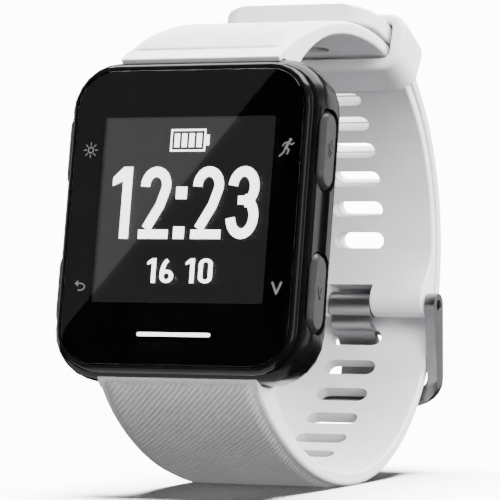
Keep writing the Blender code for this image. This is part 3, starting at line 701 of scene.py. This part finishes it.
# From each figure to the next, where it isn't the usual width and gap
FIGURE_STEP = {"1": 4.35, ":": 2.35, " ": 2.6}


def numbers(name, text, box):
    """Figures drawn to fill a space on the display, glowing with painted light."""
    near, far, low, high = box
    outlines, pen = [], 0.0
    for character in text:
        outlines += moved(figure(character), pen, 0.0)
        pen += FIGURE_STEP.get(character, FIGURE_WIDE + FIGURE_GAP)
    xs = [x for outline in outlines for x, _ in outline]
    across = (far - near) / (max(xs) - min(xs))
    up = (high - low) / FIGURE_TALL
    placed = [
        [(near + (x - min(xs)) * across, low + z * up) for x, z in outline]
        for outline in outlines
    ]
    flat_piece(name, placed, SCREEN_DEPTH - PAINTED_GLOW_LIFT, LAYER_THICK, SCREEN_WHITE_PAINTED_GLOW)


def battery_mark():
    """A battery outline with bars in it."""
    left, right, low, high = BATTERY_BOX
    line, gap, bars = BATTERY_LINE, BATTERY_GAP, BATTERY_BARS
    out, inset = BATTERY_TIP
    shapes = [
        rectangle(left, low, right, low + line), rectangle(left, high - line, right, high),
        rectangle(left, low + line, left + line, high - line),
        rectangle(right - line, low + line, right, high - line),
        rectangle(right, low + inset, right + out, high - inset),
    ]
    room = right - left - 2.0 * line - gap
    for k in range(bars):
        x0 = left + line + gap + k * room / bars
        shapes.append(rectangle(x0, low + line + gap, x0 + room / bars - gap, high - line - gap))
    return shapes


def dial():
    mask()
    low, high = SCREEN_MIDDLE - SCREEN_HALF, SCREEN_MIDDLE + SCREEN_HALF
    edge = SCREEN_HALF + SCREEN_LAP
    # The screen's face, its figures and the battery glow with painted light
    flat_piece("screen_face", [rectangle(-edge, low - SCREEN_LAP, edge, high + SCREEN_LAP)],
               SCREEN_DEPTH, LAYER_THICK, SCREEN_DARK_PAINTED_GLOW)
    numbers("screen_time", "12:23", TIME_BOX)
    numbers("screen_date", "16 10", DATE_BOX)
    flat_piece("screen_battery", battery_mark(), SCREEN_DEPTH - PAINTED_GLOW_LIFT, LAYER_THICK, SCREEN_WHITE_PAINTED_GLOW)
    marks = {
        "mark_light": moved(sun(), -MARK_X, UPPER_MARK, 1.0),
        "mark_back": moved(return_arrow(), -MARK_X, LOWER_MARK, 0.85),
        "mark_run": moved(runner(), MARK_X, UPPER_MARK, 1.1),
        "mark_down": moved(chevron(), MARK_X, LOWER_MARK, 0.95),
    }
    # The printed marks glow grey with painted light
    for name, outlines in marks.items():
        flat_piece(name, outlines, PRINT_DEPTH, PRINT_THICK, PRINT_GREY_PAINTED_GLOW)
    # The white bar under the display glows with painted light
    half, height, width = LOWER_EDGE
    flat_piece("mark_lower_edge", stroke([(-half, height), (half, height)], width),
               PRINT_DEPTH, PRINT_THICK, SCREEN_WHITE_PAINTED_GLOW)


# ---------------------------------------------------------------- marks moulded on the buttons

def button_mark(name, node, outlines, scale):
    """A raised figure on a button's outer end, read from outside the watch."""
    low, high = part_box(node)
    inverse = WATCH.inverted()
    middle = inverse @ ((low + high) / 2.0)
    side = 1.0 if middle.x > 0 else -1.0
    face = abs((inverse @ Vector((high.x if side > 0 else low.x, 0.0, 0.0))).x)
    verts, faces = [], []
    for outline in outlines:
        base, count = len(verts), len(outline)
        for rise in MARK_RISES:
            verts += [(side * (face + rise), middle.y + side * a * scale, middle.z + b * scale)
                      for a, b in outline]
        faces += prism_faces(base, count)
    obj = new_piece(name, verts, faces, FINISHES["button_black"], body=BODY_OF[node])
    outward_faces(obj)


def button_marks():
    button_mark("button_run_mark", "button_run", runner(), 1.25)
    button_mark("button_down_mark", "button_down", chevron(), 0.9)
    button_mark("button_light_mark", "button_light", sun(), 1.1)
    button_mark("button_back_mark", "button_back", return_arrow(), 0.95)


# ---------------------------------------------------------------- studio

def card(name, corners, mat):
    """A flat studio surface that isn't part of the watch."""
    mesh = bpy.data.meshes.new(name)
    mesh.from_pydata(corners, [], [tuple(range(len(corners)))])
    mesh.materials.append(mat)
    obj = bpy.data.objects.new(name, mesh)
    bpy.context.scene.collection.objects.link(obj)
    obj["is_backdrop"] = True
    return obj


def paper():
    """White paper that fades out towards the edge of the floor."""
    mat = finish_of("paper", grey(0.93), grey(0.95), (0.7, 0.8), grain=40.0, bump=0.0,
                    Specular_IOR_Level=0.0)
    nodes, links = mat.node_tree.nodes, mat.node_tree.links
    coords = nodes.new("ShaderNodeTexCoord")
    distance = nodes.new("ShaderNodeVectorMath")
    distance.operation = "LENGTH"
    fade = nodes.new("ShaderNodeMapRange")
    fade.interpolation_type = "SMOOTHSTEP"
    fade.inputs["From Min"].default_value = FLOOR_RADIUS * FLOOR_SOLID
    fade.inputs["From Max"].default_value = FLOOR_RADIUS
    fade.inputs["To Min"].default_value = 1.0
    fade.inputs["To Max"].default_value = 0.0
    links.new(coords.outputs["Object"], distance.inputs[0])
    links.new(distance.outputs["Value"], fade.inputs["Value"])
    links.new(fade.outputs["Result"], nodes["Principled BSDF"].inputs["Alpha"])
    return mat


def floor():
    corners = [(x, y, 0.0) for x, y in disc(0.0, 0.0, FLOOR_RADIUS, 96)]
    obj = card("floor", corners, paper())
    obj.visible_diffuse = False
    obj.visible_glossy = False
    obj.visible_shadow = False
    return obj


def watch_middle():
    return (Vector(cad_box[0]) + Vector(cad_box[1])) / 2.0


def area_light(name, direction, distance, size, radiance):
    """A softbox aimed at the watch, with its brightness as a surface."""
    data = bpy.data.lights.new(name, "AREA")
    data.shape = "RECTANGLE"
    data.size = size
    data.size_y = size
    data.energy = radiance * math.pi * size * data.size_y
    obj = bpy.data.objects.new(name, data)
    middle = watch_middle()
    obj.location = middle + Vector(direction).normalized() * distance
    obj.rotation_euler = (middle - obj.location).to_track_quat("-Z", "Y").to_euler()
    obj.visible_glossy = False
    obj.visible_transmission = False
    bpy.context.scene.collection.objects.link(obj)
    return obj


def shine_only_on(light, name, *receivers):
    """Light linking: the light falls on these objects alone, and the rest still shade them."""
    group = bpy.data.collections.new(name)
    for receiver in receivers:
        group.objects.link(receiver)
    light.light_linking.receiver_collection = group


def reflector(name, direction, distance, width, height, brightness):
    """A pale card that only shows in glossy surfaces."""
    middle = watch_middle()
    way = Vector(direction).normalized()
    turn = way.to_track_quat("Z", "Y").to_matrix().to_4x4()
    place = Matrix.Translation(middle + way * distance) @ turn
    corners = [place @ Vector((a * width / 2.0, b * height / 2.0, 0.0))
               for a, b in ((-1, -1), (1, -1), (1, 1), (-1, 1))]
    obj = card(name, corners, glowing(name, grey(0.92), grey(1.0), brightness, cells=4.0))
    only_in_gloss(obj)


def only_in_gloss(obj):
    for way in ("camera", "diffuse", "shadow", "volume_scatter"):
        setattr(obj, f"visible_{way}", False)


def world(strength):
    """White all round behind the watch, which lights and reflects nothing."""
    made = bpy.data.worlds.new("studio")
    made.use_nodes = True
    background = made.node_tree.nodes["Background"]
    background.inputs["Color"].default_value = (1.0, 1.0, 1.0, 1.0)
    background.inputs["Strength"].default_value = strength
    made.cycles_visibility.diffuse = False
    made.cycles_visibility.glossy = False
    made.cycles_visibility.transmission = False
    bpy.context.scene.world = made


def glass_highlight():
    """A pale panel whose slanting edge shows across the glass from the camera's side."""
    eye = WATCH.inverted() @ CAMERA_PLACE
    image = Vector((eye.x, -eye.y, eye.z))          # the camera, mirrored in the glass
    corners = []
    for x, z in HIGHLIGHT_CORNERS:
        seen = Vector((x, 0.0, z))
        corners.append(WATCH @ (image + (seen - image) * HIGHLIGHT_REACH))
    mat = glowing("panel", grey(0.9), grey(1.0), HIGHLIGHT, cells=4.0)
    obj = card("glass_highlight", corners, mat)
    only_in_gloss(obj)


def lights(ground):
    world(WORLD_STRENGTH)
    shine_only_on(area_light(*FLOOR_LIGHT), "ground", ground)
    on_watch = [area_light(*softbox) for softbox in SOFTBOXES]
    for light in on_watch:
        shine_only_on(light, f"{light.name}_receivers", *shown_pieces())
    for pale_card in REFLECTORS:
        reflector(*pale_card)
    glass_highlight()


def camera():
    data = bpy.data.cameras.new("camera")
    data.lens = CAMERA_LENS
    data.sensor_width = SENSOR_WIDTH
    data.clip_start, data.clip_end = CLIP
    obj = bpy.data.objects.new("camera", data)
    obj.location = CAMERA_PLACE
    obj.rotation_euler = [math.radians(a) for a in CAMERA_TURN]
    bpy.context.scene.collection.objects.link(obj)
    bpy.context.scene.camera = obj


camera()
dress_parts()
strap_ribs()
dial()
button_marks()
lights(floor())
